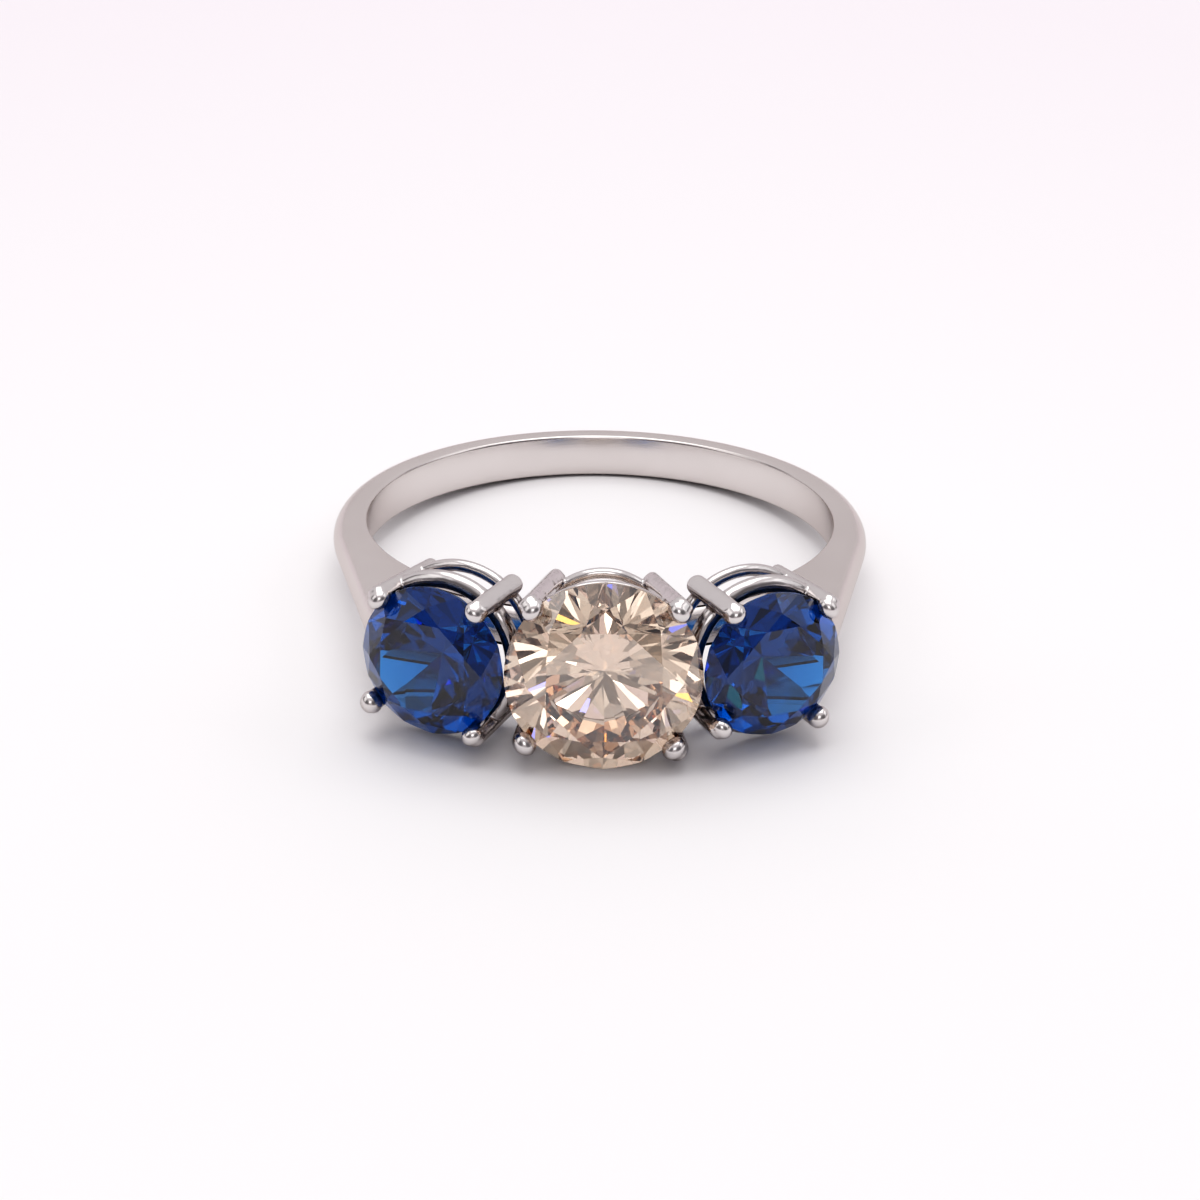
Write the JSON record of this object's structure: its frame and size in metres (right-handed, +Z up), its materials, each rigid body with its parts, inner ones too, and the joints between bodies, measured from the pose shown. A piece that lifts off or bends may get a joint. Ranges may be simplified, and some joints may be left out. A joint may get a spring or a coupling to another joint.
{
  "type": "three-stone sapphire and diamond ring",
  "caption": "Finger ring with a round diamond between two smaller round sapphires, each held by prongs in an open basket on a half-round band.",
  "frame": {"origin": "middle of the ring's outline, on the surface that it lies on", "axes": "+Z up from that surface, +Y from the stones towards the back of the band, +X to the right seen from the stones' side"},
  "size_m": [0.0198, 0.0244, 0.007],
  "materials": {
    "white_gold": "polished white gold",
    "diamond": "faceted, light champagne",
    "sapphire": "faceted, deep blue"
  },
  "bodies": {
    "root": {"band_and_settings": "white_gold", "centre_diamond": "diamond", "left_sapphire": "sapphire", "right_sapphire": "sapphire"}
  },
  "joints": []
}
